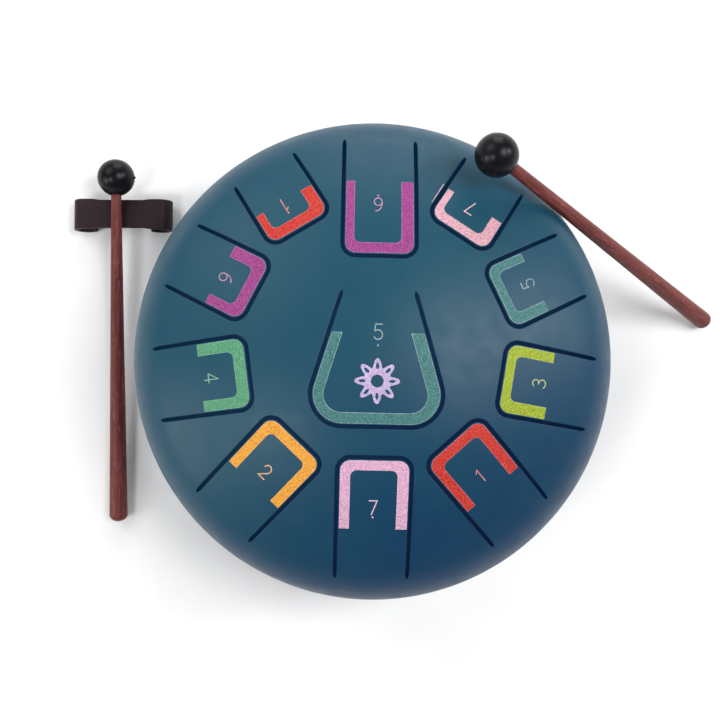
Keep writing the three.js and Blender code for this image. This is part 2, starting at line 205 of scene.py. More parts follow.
class Dish:
    """A spherical crown that runs tangent into a knuckle and a straight brim.

    A point on the sheet is given flat: its distance from the axis is measured along the sheet.
    """

    def __init__(self, rise, knuckle, side):
        self.side = side
        self.rise, self.knuckle = rise, knuckle
        self.brim_z = SEAM_Z + side * FLANGE
        self.knuckle_r = DRUM_RADIUS - knuckle
        self.crown = (self.knuckle_r**2 + rise**2 - knuckle**2) / (2 * (rise - knuckle))
        self.meeting = math.atan2(self.knuckle_r, self.crown - rise)
        self.crown_run = self.crown * self.meeting
        self.knuckle_run = knuckle * (math.pi / 2 - self.meeting)
        self.full_run = self.crown_run + self.knuckle_run + FLANGE - WELD_ROOM

    def run_at(self, radius):
        """Distance along the sheet at a plan radius on the crown or the knuckle."""
        crown = self.crown * np.arcsin(np.clip(radius / self.crown, 0, 1))
        turn = np.arcsin(np.clip((radius - self.knuckle_r) / self.knuckle, 0, 1))
        knuckle = self.crown_run + self.knuckle * (turn - self.meeting)
        return np.where(crown <= self.crown_run, crown, knuckle)

    def profile(self, run, sunk=0.0):
        """Radius, height and the outward normal's tilt, at distances along the sheet."""
        run = np.asarray(run, float)
        on_crown = run <= self.crown_run
        past = run - self.crown_run
        tilt = np.where(on_crown, run / self.crown, self.meeting + past / self.knuckle)
        tilt = np.minimum(tilt, math.pi / 2)
        brim = np.maximum(past - self.knuckle_run, 0)
        bend = np.where(on_crown, self.crown, self.knuckle) - sunk
        radius = np.where(on_crown, 0, self.knuckle_r) + bend * np.sin(tilt)
        base = np.where(on_crown, self.rise - self.crown, 0)
        height = base + bend * np.cos(tilt) - brim
        return radius, self.brim_z + self.side * height, tilt

    def flat(self, plan):
        """Plan points laid out flat along the sheet."""
        radius = np.hypot(plan[:, 0], plan[:, 1])
        scale = self.run_at(radius) / np.maximum(radius, 1e-9)
        return plan * scale[:, None]

    def lift(self, flat, sunk=0.0):
        """Flat points on the sheet, or `sunk` below its outer face, and their normals."""
        run = np.hypot(flat[:, 0], flat[:, 1])
        heading = flat / np.maximum(run, 1e-9)[:, None]
        radius, z, tilt = self.profile(run)
        points = np.column_stack([heading * radius[:, None], z])
        normals = np.column_stack([heading * np.sin(tilt)[:, None], self.side * np.cos(tilt)])
        square = smooth_step(radius, WALLS_UPRIGHT_TO, WALLS_SQUARE_FROM)[:, None]
        way = (1 - square) * np.array([0, 0, self.side]) + square * normals
        way /= np.sum(way * normals, axis=1)[:, None]
        return points - way * sunk, normals


def smooth_step(value, low, high):
    """A share that eases from 0 at `low` to 1 at `high`."""
    t = np.clip((value - low) / (high - low), 0, 1)
    return t * t * (3 - 2 * t)


TOP = Dish(TOP_RISE, TOP_KNUCKLE, 1)
BOTTOM = Dish(BOTTOM_RISE, BOTTOM_KNUCKLE, -1)

# ---- Meshes ----

# How far a cut edge's shading leans out, and the cosine up to which it runs on round a corner.
EDGE_TILT, SMOOTH_CORNER = 0.9, 0.7
# A film's or slit's edge is moved sideways only where it is cut by at least this much.
LEAST_CUT = 0.25


def make_object(name, points, faces, materials, at=None):
    """A mesh object from millimetre points, in the drum's own frame or in the frame `at`."""
    mesh = bpy.data.meshes.new(name)
    mesh.from_pydata((np.asarray(points) * MM).tolist(), [], [list(f) for f in faces])
    mesh.transform(at or Matrix.Translation((*(DRUM_AXIS * MM), 0)))
    mesh.update()
    for material in materials:
        mesh.materials.append(material)
    mesh.shade_smooth()
    obj = bpy.data.objects.new(name, mesh)
    bpy.context.scene.collection.objects.link(obj)
    return obj


def unit(vectors):
    """The vectors at length one."""
    return vectors / np.maximum(np.linalg.norm(vectors, axis=-1, keepdims=True), 1e-12)


def edge_normals(loop, closed=True):
    """The left-hand normal at each point of a plan line."""
    step = np.roll(loop, -1, axis=0) - loop
    if not closed:
        step[-1] = step[-2]
    before = np.roll(step, 1, axis=0)
    if not closed:
        before[0] = step[0]
    along = unit(unit(step) + unit(before))
    return np.column_stack([-along[:, 1], along[:, 0]])


def spread(outlines, spacing, clear):
    """Points on staggered circles inside the outlines' box, clear of the outlines' own points."""
    everything = np.vstack(outlines)[:, :2]
    tree = KDTree(len(everything))
    for i, point in enumerate(everything):
        tree.insert((*point, 0), i)
    tree.balance()
    low, high = everything.min(0), everything.max(0)
    reach = np.hypot(everything[:, 0], everything[:, 1]).max()
    found = []
    for i in range(int(reach / spacing) + 1):
        radius = (i + 0.5) * spacing
        count = max(6, round(TAU * radius / spacing))
        stagger = 0.5 * (i % 2)
        for j in range(count):
            angle = (j + stagger) / count * TAU
            point = np.array((radius * math.cos(angle), radius * math.sin(angle)))
            inside = (point > low).all() and (point < high).all()
            if inside and tree.find((*point, 0))[2] > clear:
                found.append((*point, 0))
    return np.array(found) if found else np.zeros((0, 3))


def fill(solids, holes=(), loose=()):
    """Plan triangles that fill the solid outlines less the holes.

    Each point is x, y and how far the edge is cut there, from 0 to 1.
    """
    loops = [*solids, *holes]
    points = np.vstack([*loops, *loose])
    starts = np.cumsum([0] + [len(loop) for loop in loops])
    rings = [list(range(a, b)) for a, b in zip(starts, starts[1:])]
    coords = [Vector(p[:2]) for p in points]
    flat, _, faces, origin, _, owners = delaunay_2d_cdt(coords, [], rings, 0, 1e-6)
    first_hole = len(solids)
    kept = [f for f, own in zip(faces, owners) if own and max(own) < first_hole]
    used = sorted({i for f in kept for i in f})
    place = {old: new for new, old in enumerate(used)}
    flat = np.array([flat[i][:] for i in used])
    cut = np.array([points[origin[i][0]][2] if origin[i] else 1.0 for i in used])
    triangles = [tuple(place[i] for i in f) for f in kept]
    return flat, cut, triangles


def border(triangles):
    """The directed edges that only one triangle has, with that triangle on their left."""
    directed = {(f[i], f[(i + 1) % 3]) for f in triangles for i in range(3)}
    return sorted(e for e in directed if (e[1], e[0]) not in directed)


def ways_out(points, normals, edges):
    """For each point of the border, the ways out of the sheet at the edges that meet there."""
    ways = {}
    for a, b in edges:
        side = unit(np.cross(points[b] - points[a], normals[a]))
        ways.setdefault(a, []).append(side)
        ways.setdefault(b, []).append(side)
    return ways


def wall_normals(edge, points, normals, out, ways):
    """The four corner normals of the wall under a border edge, kept apart at sharp corners."""
    a, b = edge
    own = unit(np.cross(points[b] - points[a], normals[a]))
    smooth = [min(own @ way for way in ways[i]) > SMOOTH_CORNER for i in (b, a)]
    ends = [out[i] if kept else own for i, kept in zip((b, a), smooth)]
    return [*ends, *ends[::-1]]


def sheet_body(name, dish, region, high, low, drop, materials):
    """A closed body between two depths of the dish, its upper edge rounded where it is cut."""
    flat, cut, triangles = region
    count = len(flat)
    upper, normals = dish.lift(flat, high)
    lower, _ = dish.lift(flat, low)
    edges = border(triangles)
    ways = ways_out(upper, normals, edges)
    out = unit(np.array([sum(ways[i]) if i in ways else np.zeros(3) for i in range(count)]))
    lowered = np.array([cut[i] if i in ways else 0.0 for i in range(count)])[:, None]
    upper = upper - normals * lowered * drop
    shown = unit(normals + out * lowered * EDGE_TILT)
    under = [tuple(i + count for i in reversed(f)) for f in triangles]
    walls = [(b, a, a + count, b + count) for a, b in edges]
    corner_normals = [shown[i] for f in triangles for i in f]
    corner_normals += [-normals[i] for f in triangles for i in reversed(f)]
    for edge in edges:
        corner_normals += wall_normals(edge, upper, normals, out, ways)
    obj = make_object(name, np.vstack([upper, lower]), [*triangles, *under, *walls], materials)
    if len(materials) > 1:
        at_cut = [int(any(lowered[i] > 0 for i in f)) for f in triangles]
        slots = at_cut + [0] * len(under) + [1] * len(walls)
        obj.data.polygons.foreach_set("material_index", slots)
    obj.data.normals_split_custom_set(np.array(corner_normals).tolist())
    return obj


def turned(name, profile, turns, materials, closed=False, at=None, shape=None):
    """A body of revolution about Z from (radius, z) points, open ends meeting on the axis.

    `shape(radius, z, angle)` may give each point another radius and height.
    """
    rows = []
    points = []
    for radius, z in profile:
        on_axis = radius < 1e-6 and not closed
        rows.append((len(points), on_axis))
        for angle in [0.0] if on_axis else turns:
            r, h = shape(radius, z, angle) if shape else (radius, z)
            points.append((r * math.cos(angle), r * math.sin(angle), h))
    faces = []
    count = len(turns)
    pairs = zip(rows, rows[1:] + rows[:1]) if closed else zip(rows, rows[1:])
    for (start, start_point), (end, end_point) in pairs:
        for j in range(count):
            k = (j + 1) % count
            ring = [start] if start_point else [start + j, start + k]
            faces.append((*ring, end) if end_point else (*ring, end + k, end + j))
    return make_object(name, points, faces, materials, at)


def sharpen(obj, degrees):
    """Smooth shading that breaks at edges sharper than this."""
    obj.data.set_sharp_from_angle(angle=math.radians(degrees))


def face_outwards(obj):
    """Turns every face to point out of its closed body."""
    mesh = bmesh.new()
    mesh.from_mesh(obj.data)
    bmesh.ops.recalc_face_normals(mesh, faces=mesh.faces)
    mesh.to_mesh(obj.data)
    mesh.free()


# ---- Slits and outlines ----


def steps(start, end, spacing):
    """Evenly spaced numbers from start up to, but without, end."""
    count = max(1, round(abs(end - start) / spacing))
    return [start + (end - start) * i / count for i in range(count)]


def between(start, end, spacing):
    """Evenly spaced points on the straight line between two points, both left out."""
    shares = steps(0, 1, spacing / np.linalg.norm(end[:2] - start[:2]))[1:]
    return np.array([start + (end - start) * share for share in shares])


def leg(tongue, inset, stop_u, tapered):
    """Points down the right leg of a U at `inset` from the slit's middle, from its outer end."""
    lean = tongue.lean
    corner = max(tongue.corner - inset, TIGHTEST_CORNER)
    reach = inset + corner
    end = (tongue.root - tongue.tip - reach * (1 + math.sin(lean))) / math.cos(lean)
    start = (tongue.root - stop_u - inset * math.sin(lean)) / math.cos(lean)
    places = steps(SLIT_TAPER if tapered else start, end, LINE_SPACING)
    if tapered:
        places = [SLIT_TAPER * share for share in steps(0, 1, 1 / 8)] + places
    points = []
    for t in places:
        width = math.sqrt(1 - (1 - min(t / SLIT_TAPER, 1)) ** 2) if tapered else 1
        u = tongue.root - t * math.cos(lean) - inset * width * math.sin(lean)
        v = tongue.half + t * math.sin(lean) - inset * width * math.cos(lean)
        points.append((u, v, width))
    centre_u = tongue.root - end * math.cos(lean) - reach * math.sin(lean)
    centre_v = tongue.half + end * math.sin(lean) - reach * math.cos(lean)
    for phi in steps(math.pi / 2 + lean, 0, CORNER_SPACING / max(corner, SHARP_CORNER)):
        points.append((centre_u - corner * math.cos(phi), centre_v + corner * math.sin(phi), 1))
    return points, centre_u - corner, centre_v


def contour(tongue, inset, stop_u=None, tapered=False):
    """A U line round a tongue, from its left outer end by the tip to its right outer end."""
    stop = tongue.root if stop_u is None else stop_u
    right, tip_u, tip_v = leg(tongue, inset, stop, tapered)
    left = [(u, -v, width) for u, v, width in right]
    tip = [(tip_u, v, 1) for v in steps(-tip_v, tip_v, LINE_SPACING)] + [(tip_u, tip_v, 1)]
    return np.array(left + tip + right[::-1])


def root_line(tongue):
    """Where the tongue runs on into the shell, from its right end to its left, ends left out."""
    across = steps(tongue.half, -tongue.half, LINE_SPACING)[1:]
    return np.array([(tongue.root, v, 0) for v in across])


def on_sheet(tongue, points):
    """A tongue's plan points laid out flat on the top dish, with their cut kept."""
    flat = TOP.flat(tongue.plan(points[:, :2]))
    return np.column_stack([flat, points[:, 2]])


def beside(loop, distance):
    """A line's cut points moved sideways, to the left if distance is positive."""
    moved = loop[:, :2] + edge_normals(loop[:, :2]) * distance
    keep = loop[:, 2] > LEAST_CUT
    return np.column_stack([moved, np.zeros(len(loop))])[keep]


def tongue_loop(tongue, inset):
    """The whole outline of a tongue, laid out flat, at `inset` from the slit's middle."""
    edge = contour(tongue, inset, tapered=True)
    return on_sheet(tongue, np.vstack([edge, root_line(tongue)]))


# ---- Materials ----


def set_ramp(ramp, stops):
    """Gives a colour ramp its stops, each (position, colour)."""
    marks = ramp.color_ramp.elements
    while len(marks) < len(stops):
        marks.new(0.5)
    for mark, (position, colour) in zip(marks, stops):
        mark.position = position
        mark.color = (*colour, 1)


class Look:
    """A Principled material whose nodes are added by name."""

    def __init__(self, name, **sockets):
        self.material = bpy.data.materials.new(name)
        self.material.use_nodes = True
        self.tree = self.material.node_tree
        self.shader = self.tree.nodes["Principled BSDF"]
        for socket, value in sockets.items():
            self.shader.inputs[socket.replace("_", " ")].default_value = value
        self.place = self.add("TexCoord").outputs["Object"]

    def add(self, kind, links=(), values=()):
        """A new node with some inputs linked to sources and some set to values."""
        node = self.tree.nodes.new(f"ShaderNode{kind}")
        for socket, value in dict(values).items():
            node.inputs[socket].default_value = value
        for socket, source in dict(links).items():
            self.tree.links.new(source, node.inputs[socket])
        return node

    def turn_to(self, place):
        """Takes places in the frame `place` from here on, so that a grain can follow a stick."""
        inverse = place.inverted()
        values = {"Location": inverse.translation, "Rotation": inverse.to_euler()}
        self.place = self.add("Mapping", {"Vector": self.place}, values).outputs["Vector"]

    def stretched(self, x, y, z):
        """Places scaled along each axis, for a grain longer one way than another."""
        return self.add("Mapping", {"Vector": self.place}, {"Scale": (x, y, z)}).outputs["Vector"]

    def noise(self, size, detail=2.0, vector=None, roughness=0.5):
        """Noise whose features are about `size` millimetres across."""
        values = {"Scale": 1 / (size * MM), "Detail": detail, "Roughness": roughness}
        return self.add("TexNoise", {"Vector": vector or self.place}, values).outputs["Fac"]

    def ramp(self, source, stops):
        """A colour that runs through the stops as the source grows."""
        node = self.add("ValToRGB", {"Fac": source})
        set_ramp(node, stops)
        return node.outputs["Color"]

    def across(self, x, y):
        """Distance along a level direction, in metres."""
        node = self.add("VectorMath", {0: self.place}, {1: (x, y, 0)})
        node.operation = "DOT_PRODUCT"
        return node.outputs["Value"]

    def sum(self, first, second):
        """Two sources added and kept between 0 and 1."""
        node = self.add("Math", {0: first, 1: second})
        node.operation = "ADD"
        node.use_clamp = True
        return node.outputs["Value"]

    def range(self, source, low, high, start=0.3, end=0.7):
        """Runs from `low` to `high` as the source goes from `start` to `end`."""
        values = {"From Min": start, "From Max": end, "To Min": low, "To Max": high}
        return self.add("MapRange", {"Value": source}, values).outputs["Result"]

    def blend(self, how, amount, first, second):
        """Two colours mixed; each is a source or a plain colour."""
        node = self.add("Mix", {"Factor": amount})
        node.data_type = "RGBA"
        node.blend_type = how
        for source, socket in ((first, "A"), (second, "B")):
            target = next(s for s in node.inputs if s.name == socket and s.type == "RGBA")
            if isinstance(source, tuple):
                target.default_value = (*source, 1)
            else:
                self.tree.links.new(source, target)
        return next(s for s in node.outputs if s.type == "RGBA")

    def bumps(self, *layers):
        """Height layers, each (source, strength, depth in millimetres), one over another."""
        under = {}
        for source, strength, depth in layers:
            values = {"Strength": strength, "Distance": depth * MM}
            node = self.add("Bump", {"Height": source, **under}, values)
            under = {"Normal": node.outputs["Normal"]}
        self.tree.links.new(under["Normal"], self.shader.inputs["Normal"])

    def colour(self, source):
        self.tree.links.new(source, self.shader.inputs["Base Color"])

    def rough(self, source):
        self.tree.links.new(source, self.shader.inputs["Roughness"])


def linear(hex_colour):
    """A #rrggbb colour as linear light."""
    parts = [int(hex_colour[i : i + 2], 16) / 255 for i in (1, 3, 5)]
    return tuple(c / 12.92 if c <= 0.04045 else ((c + 0.055) / 1.055) ** 2.4 for c in parts)


def towards(colour, other, share):
    """A colour mixed with a share of another."""
    return tuple(a + (b - a) * share for a, b in zip(colour, other))


def scaled(colour, factor):
    """A colour made lighter or darker, up to full light."""
    return tuple(min(c * factor, 1) for c in colour)


def paint_look():
    """Satin enamel over steel: cloudy teal to blue, a deeper blue towards the front right as painted shade, orange
    peel, and a little settled dust.
    """
    look = Look("satin_blue_paint", Specular_IOR_Level=0.27)
    # Painted shade: the paint runs from teal to a deeper blue towards the front right, as if less light fell
    # there.
    painted_shade = look.range(look.across(0.62, -0.78), 0, 1, -0.02, 0.085)
    cloud = look.range(look.noise(70, detail=3), -0.25, 0.25)
    share = look.sum(painted_shade, cloud)
    blue = look.blend("MIX", share, PAINT_TEAL, PAINT_BLUE_AND_SHADE)
    dust = look.range(look.noise(1.3, detail=3, roughness=0.7), 0, 0.2, 0.62, 0.82)
    look.colour(look.blend("MIX", dust, blue, scaled(PAINT_TEAL, 2.0)))
    look.rough(look.range(look.noise(9, detail=4), 0.38, 0.48))
    peel = look.noise(1.6, detail=1)
    grit = look.noise(0.35, detail=2)
    look.bumps((peel, 0.25, 0.05), (grit, 0.2, 0.012))
    return look.material


def ink_look(name, colour):
    """Screen-printed vinyl: a fine speckle, a slow cloud and a slightly pitted face."""
    look = Look(name, Specular_IOR_Level=0.2)
    speckle = look.noise(0.75, detail=3, roughness=0.75)
    dark, light = scaled(colour, 0.62), towards(scaled(colour, 1.28), (1, 1, 1), 0.04)
    grain = look.ramp(speckle, [(0.4, dark), (0.5, colour), (0.6, light)])
    cloud = look.range(look.noise(18, detail=2), 0.0, 0.4)
    look.colour(look.blend("MIX", cloud, grain, scaled(colour, 1.1)))
    look.rough(look.range(look.noise(4, detail=3), 0.5, 0.68))
    look.bumps((speckle, 0.35, 0.03))
    return look.material


def rubber_look():
    """Near-black rubber with a fine moulded grain and slightly polished patches."""
    look = Look("moulded_rubber", Specular_IOR_Level=0.16)
    bloom = look.noise(7, detail=4, roughness=0.6)
    look.colour(look.ramp(bloom, [(0.3, RUBBER), (0.75, scaled(RUBBER, 1.8))]))
    look.rough(look.range(look.noise(3, detail=4), 0.24, 0.34))
    look.bumps((look.noise(0.5, detail=2), 0.3, 0.02), (look.noise(2.5, detail=2), 0.2, 0.05))
    return look.material


def wood_look(name, place):
    """Red-brown stained wood: fibres along the stick, dark pores, pale flecks and a few scuffs."""
    look = Look(name, Specular_IOR_Level=0.22)
    look.turn_to(place)
    fibres = look.noise(1.0, detail=4, vector=look.stretched(1, 1, 0.045), roughness=0.65)
    figure = look.noise(6.5, detail=3, vector=look.stretched(1, 1, 0.12))
    pores = look.noise(0.5, detail=2, vector=look.stretched(1, 1, 0.08))
    flecks = look.noise(0.8, detail=2, vector=look.stretched(1, 1, 0.12))
    wear = look.noise(2.2, detail=3, vector=look.stretched(1, 1, 0.3))
    grain = look.ramp(fibres, [(0.36, STICK_DARK), (0.5, STICK), (0.64, STICK_LIGHT)])
    body = look.blend("MIX", look.range(figure, 0.0, 0.4, 0.4, 0.7), grain, STICK_DARK)
    body = look.blend("MIX", look.range(flecks, 0, 0.6, 0.6, 0.75), body, STICK_SCUFF)
    body = look.blend("MIX", look.range(wear, 0, 0.5, 0.64, 0.8), body, STICK_SCUFF)
    pitted = look.range(pores, 0.0, 0.6, 0.56, 0.72)
    look.colour(look.blend("MULTIPLY", pitted, body, (0.3, 0.22, 0.22)))
    look.rough(look.range(fibres, 0.42, 0.6))
    look.bumps((fibres, 0.35, 0.08), (pores, 0.3, 0.03))
    return look.material


def plastic_look():
    """Moulded brown plastic with a spark-eroded grain and faint flow marks."""
    look = Look("brown_plastic", Specular_IOR_Level=0.16)
    flow = look.noise(11, detail=3, vector=look.stretched(0.5, 1, 1))
    look.colour(look.ramp(flow, [(0.3, HOLDER), (0.7, scaled(HOLDER, 1.35))]))
    look.rough(look.range(look.noise(5, detail=3), 0.42, 0.55))
    look.bumps((look.noise(0.4, detail=2), 0.4, 0.02))
    return look.material


def floor_look():
    """A pale matt sweep with hardly any mottling."""
    look = Look("pale_floor", Specular_IOR_Level=0.1)
    mottle = look.noise(60, detail=4)
    look.colour(look.ramp(mottle, [(0.3, (0.9, 0.9, 0.9)), (0.7, (0.94, 0.94, 0.935))]))
    look.rough(look.range(look.noise(3, detail=3), 0.7, 0.85))
    look.bumps((look.noise(0.8, detail=3), 0.1, 0.02))
    return look.material


# The second blue is both a random deeper tone of the paint and its painted shade towards the front right.
PAINT_TEAL, PAINT_BLUE_AND_SHADE = (0.005, 0.059, 0.098), (0.003, 0.037, 0.09)
RUBBER = (0.0042, 0.0039, 0.0055)
STICK, STICK_DARK = (0.165, 0.036, 0.032), (0.09, 0.021, 0.02)
STICK_LIGHT, STICK_SCUFF = (0.215, 0.06, 0.053), (0.34, 0.15, 0.13)
HOLDER = (0.0185, 0.0098, 0.0125)
INK = {
    "teal": linear("#3e6f6e"),
    "magenta": linear("#8e387a"),
    "red": linear("#b62f26"),
    "pink": linear("#c795a1"),
    "lilac": linear("#cb9db8"),
    "lime": linear("#8f9f25"),
    "green": linear("#508f6b"),
    "orange": linear("#d99533"),
    "emblem": linear("#b09cc2"),
}
# The film's pale core shows at a cut edge, most of all on the teal, and through a thin numeral.
PALE, CUT_SHARE, TEAL_CUT_SHARE, DIGIT_SHARE = (0.75, 0.8, 0.85), 0.16, 0.3, 0.24
SLOT_OF = {part["node"]: part["material_slot"] for part in frame["record"]["subparts"]}

PAINT_LOOK = paint_look()
RUBBER_LOOK = rubber_look()
PLASTIC_LOOK = plastic_look()
INK_LOOK, CUT_LOOK, DIGIT_LOOK = {}, {}, {}
for slot_name, slot_ink in INK.items():
    cut_share = TEAL_CUT_SHARE if slot_name == "teal" else CUT_SHARE
    cut_ink, digit_ink = towards(slot_ink, PALE, cut_share), towards(slot_ink, PALE, DIGIT_SHARE)
    INK_LOOK[slot_name] = ink_look(f"ink_{slot_name}", slot_ink)
    CUT_LOOK[slot_name] = ink_look(f"cut_edge_{slot_name}", cut_ink)
    DIGIT_LOOK[slot_name] = ink_look(f"digit_ink_{slot_name}", digit_ink)

# ---- The drum ----


def top_dish():
    """The upper shell, with a hole round every tongue."""
    run = TOP.full_run
    rim = np.array([(run * math.cos(t), run * math.sin(t), 0) for t in round_turn(300)])
    holes = [tongue_loop(tongue, -SLIT / 2) for tongue in TONGUES]
    rounds = [beside(hole, -EDGE_ROUND) for hole in holes]
    loose = spread([rim, *holes, *rounds], SHEET_SPACING, SHEET_CLEAR)
    region = fill([rim], holes, [*rounds, loose])
    obj = sheet_body("top_dish", TOP, region, 0, SHEET, EDGE_ROUND, [PAINT_LOOK])
    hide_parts("top_shell")
    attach(obj, "drum")


def note_blade(tongue):
    """A tongue's own piece of sheet, its slit edges rounded."""
    loop = tongue_loop(tongue, SLIT / 2)
    inner = beside(loop, EDGE_ROUND)
    loose = spread([loop, inner], SHEET_SPACING, SHEET_CLEAR)
    region = fill([loop], [], [inner, loose])
    name = f"note_{tongue.note}"
    obj = sheet_body(name, TOP, region, 0, SHEET, EDGE_ROUND, [PAINT_LOOK])
    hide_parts(f"tongue_{tongue.note}")
    root = tongue.plan([(tongue.root, 0)])[0] + np.array(DRUM_AXIS)
    bent = tongue.plan([(tongue.root - BENDING_RUN, 0)])[0] + np.array(DRUM_AXIS)
    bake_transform(obj)


def film(name, solids, holes, ink, cut, spacing=2.0, chamfer=True):
    """A thin film stuck on the crown, its cut edge sloping so that its pale core shows."""
    loose = []
    if chamfer:
        loose += [beside(loop, FILM_CUT) for loop in solids]
        loose += [beside(loop, -FILM_CUT) for loop in holes]
    loose.append(spread([*solids, *holes, *loose], spacing, spacing * 0.6))
    region = fill(solids, holes, loose)
    drop = FILM * 0.9 if chamfer else 0
    return sheet_body(name, TOP, region, -FILM - FILM_BASE, -FILM_BASE, drop, [ink, cut])


def colour_band(tongue):
    """The U-shaped film just inside a tongue's slit."""
    outset = SLIT / 2 + BAND_INSET
    shift = (tongue.tip_band - tongue.arm, tongue.left_arm - tongue.arm, 0)
    outer = contour(tongue, outset, tongue.band_end)
    inner = contour(tongue, outset + tongue.arm, tongue.band_end - shift[0]) + shift
    right_end = between(outer[-1], inner[-1], BAND_END_SPACING)
    left_end = between(inner[0], outer[0], BAND_END_SPACING)
    loop = on_sheet(tongue, np.vstack([outer, right_end, inner[::-1], left_end]))
    slot = SLOT_OF[f"band_{tongue.note}"]
    obj = film(f"colour_band_{tongue.note}", [loop], [], INK_LOOK[slot], CUT_LOOK[slot])
    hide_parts(f"band_{tongue.note}")
    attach(obj, tongue.body)


def arc(x, y, rx, ry, start, end, count=18):
    """Points round part of an ellipse, from one angle to another in degrees."""
    turns = [math.radians(start + (end - start) * i / count) for i in range(count + 1)]
    return [(x + rx * math.cos(t), y + ry * math.sin(t)) for t in turns]


# A digit's strokes as centre lines, in units of its height and about 0.6 wide. A ring is a
# closed stroke.
DIGITS = {
    1: {"open": [[(0.12, 0.8), (0.32, 1), (0.32, 0)]]},
    2: {"open": [arc(0.3, 0.7, 0.28, 0.3, 170, -40) + [(0.03, 0), (0.6, 0)]]},
    3: {"open": [arc(0.28, 0.76, 0.25, 0.24, 150, -90), arc(0.28, 0.27, 0.3, 0.27, 95, -150)]},
    4: {"open": [[(0.45, 0), (0.45, 1), (0.02, 0.3)], [(0.02, 0.3), (0.66, 0.3)]]},
    5: {"open": [[(0.56, 1), (0.12, 1), (0.07, 0.56)] + arc(0.29, 0.31, 0.29, 0.31, 115, -150)]},
    6: {
        "open": [arc(0.46, 0.4, 0.44, 0.6, 90, 180, 12)],
        "ring": [arc(0.3, 0.29, 0.28, 0.29, 0, 360, 32)],
    },
    7: {"open": [[(0.02, 1), (0.58, 1), (0.2, 0)]]},
}


def stroke_outline(line):
    """The outline of an open stroke with round ends."""
    line = np.array(line)
    side = edge_normals(line, closed=False)
    forward = unit(line[1:] - line[:-1])
    turn = np.ones(len(line))
    straightness = np.sum(forward[1:] * forward[:-1], axis=1)
    turn[1:-1] = np.sqrt(np.clip((1 + straightness) / 2, 0.2, 1))
    reach = (STROKE / 2 / turn)[:, None]
    right, left = line - side * reach, line + side * reach
    cap = [math.radians(a) for a in range(-60, 61, 30)]

    def round_end(centre, heading):
        across = np.array((heading[1], -heading[0]))
        ways = [heading * math.cos(a) - across * math.sin(a) for a in cap]
        return [centre + way * STROKE / 2 for way in ways]

    end = round_end(line[-1], forward[-1])
    start = round_end(line[0], -forward[0])
    return np.vstack([right, end, left[::-1], start])


def numeral_outlines(tongue):
    """The solid outlines and holes of a tongue's numeral and octave dot, in its plan frame."""
    digit = DIGITS[int(tongue.note[-1])]
    size = tongue.numeral_up * tongue.numeral_height

    def to_uv(line):
        placed = [((y - 0.5) * size, (x - 0.3) * size) for x, y in line]
        return np.array(placed) + (tongue.numeral_at, tongue.numeral_v)

    solids = [stroke_outline(to_uv(line)) for line in digit["open"]]
    holes = []
    for ring in digit.get("ring", []):
        line = to_uv(ring[:-1])
        side = edge_normals(line)
        middle_uv = line.mean(0)
        out = side * np.sign(np.sum(side * (line - middle_uv), axis=1))[:, None]
        solids.append(line + out * STROKE / 2)
        holes.append(line - out * STROKE / 2)
    octave = {"low": -1, "high": 1}.get(tongue.note.split("_")[0])
    if octave:
        beyond = (tongue.numeral_height / 2 + tongue.dot_away) * tongue.numeral_up * octave
        centre = np.array((tongue.numeral_at + beyond, tongue.numeral_v))
        solids.append(centre + np.array(arc(0, 0, DOT, DOT, 0, 360, 20)[:-1]))
    return solids, holes


def counter_clockwise(loop):
    """The outline turned over if it runs clockwise seen from above."""
    x, y = loop[:, 0], loop[:, 1]
    area = np.sum(x * np.roll(y, -1) - np.roll(x, -1) * y)
    return loop if area > 0 else loop[::-1]


def numeral(tongue):
    """The film digit on a tongue, with its octave dot."""
    solids, holes = numeral_outlines(tongue)

    def flat(loop):
        return counter_clockwise(on_sheet(tongue, np.column_stack([loop, np.zeros(len(loop))])))

    slot = SLOT_OF[f"numeral_{tongue.note}"]
    name = f"digit_{tongue.note}"
    solids, holes = [flat(s) for s in solids], [flat(h) for h in holes]
    obj = film(name, solids, holes, DIGIT_LOOK[slot], DIGIT_LOOK[slot], chamfer=False)
    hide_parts(f"numeral_{tongue.note}")
    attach(obj, tongue.body)


def print_slip():
    """A pale sliver of film left on the shell beside one slit, where a band was cut too wide."""
    tongue = next(t for t in TONGUES if t.note == SLIP_NOTE)
    near, far = tongue.band_end - SLIP_LENGTH, tongue.band_end + SLIP_PAST_BAND
    edge = -tongue.half - SLIT / 2 - SLIP_GAP
    wide, narrow = edge - SLIP_WIDTH, edge - SLIP_WIDTH * SLIP_NARROW_END
    corners = np.array([(far, edge, 1), (far, wide, 1), (near, narrow, 1), (near, edge, 1)])
    long_sides = between(corners[1], corners[2], 0.8), between(corners[3], corners[0], 0.8)
    outline = np.vstack([corners[:2], long_sides[0], corners[2:], long_sides[1]])
    loop = counter_clockwise(on_sheet(tongue, outline))
    slot = SLOT_OF[f"band_{SLIP_NOTE}"]
    obj = film("print_slip", [loop], [], DIGIT_LOOK[slot], DIGIT_LOOK[slot], chamfer=False)
    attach(obj, "drum")


